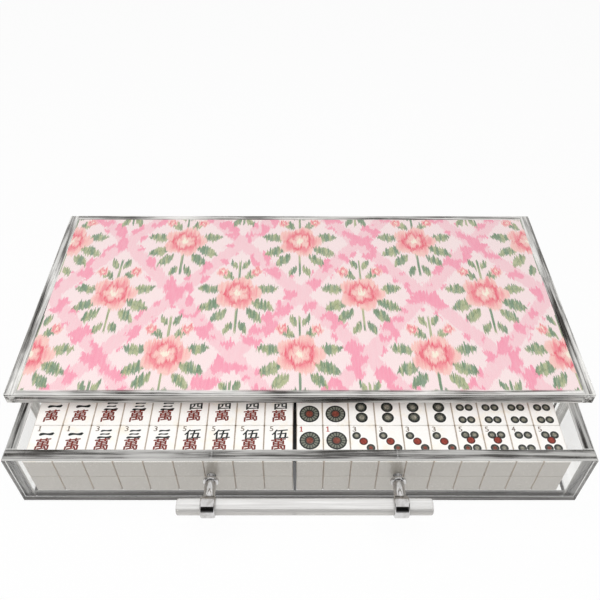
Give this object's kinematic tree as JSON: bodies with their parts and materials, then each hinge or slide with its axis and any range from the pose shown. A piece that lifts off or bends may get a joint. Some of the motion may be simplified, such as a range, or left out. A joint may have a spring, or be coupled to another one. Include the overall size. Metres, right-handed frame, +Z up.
{
  "type": "game tile case with drawers",
  "caption": "Clear acrylic case for game tiles, with a printed sheet in its top panel and sliding drawers, each with a clear rod pull and a load of loose tiles.",
  "frame": {"origin": "middle of the flat underside, on the table, below the centre of the top panel", "axes": "+Z up, +X to the right along the length of the case, -Y towards the drawer that stands open"},
  "size_m": [0.51, 0.3676, 0.09],
  "materials": {
    "clear_acrylic": "polished clear sheet",
    "print_paper": "matt printed sheet, pink floral stripe",
    "chrome": "polished plate",
    "steel": "bright zinc",
    "tile_ivory": "polished, with sunk painted faces",
    "dark_acrylic": "polished black sheet"
  },
  "bodies": {
    "case": {"case_bottom": "clear_acrylic", "case_left_wall": "clear_acrylic", "case_partition": "clear_acrylic", "case_right_wall": "clear_acrylic", "cover_sheet": "clear_acrylic", "print_sheet": "print_paper", "top_sheet": "clear_acrylic"},
    "front_drawer": {"front_drawer_back": "clear_acrylic", "front_drawer_face": "clear_acrylic", "front_drawer_floor": "clear_acrylic", "front_drawer_left_side": "clear_acrylic", "front_drawer_right_side": "clear_acrylic", "front_grub_screws": "steel", "front_left_tiles_lower": "tile_ivory", "front_left_tiles_upper": "tile_ivory", "front_long_divider": "clear_acrylic", "front_pull_collars": "chrome", "front_pull_flanges": "chrome", "front_pull_posts": "chrome", "front_pull_rod": "clear_acrylic", "front_pull_screws": "steel", "front_right_tiles_lower": "tile_ivory", "front_right_tiles_upper": "tile_ivory", "front_tile_divider": "dark_acrylic"},
    "rear_drawer": {"rear_drawer_back": "clear_acrylic", "rear_drawer_face": "clear_acrylic", "rear_drawer_floor": "clear_acrylic", "rear_drawer_left_side": "clear_acrylic", "rear_drawer_right_side": "clear_acrylic", "rear_grub_screws": "steel", "rear_left_tiles_lower": "tile_ivory", "rear_left_tiles_upper": "tile_ivory", "rear_long_divider": "clear_acrylic", "rear_pull_collars": "chrome", "rear_pull_flanges": "chrome", "rear_pull_posts": "chrome", "rear_pull_rod": "clear_acrylic", "rear_pull_screws": "steel", "rear_right_tiles_lower": "tile_ivory", "rear_right_tiles_upper": "tile_ivory", "rear_tile_divider": "dark_acrylic"}
  },
  "joints": [
    {"name": "front_drawer_slide", "type": "slide", "parent": "case", "child": "front_drawer", "axis": [0, -1, 0], "range_m": [-0.0552, 0.0348]},
    {"name": "rear_drawer_slide", "type": "slide", "parent": "case", "child": "rear_drawer", "axis": [0, 1, 0], "range_m": [0, 0.09]}
  ]
}
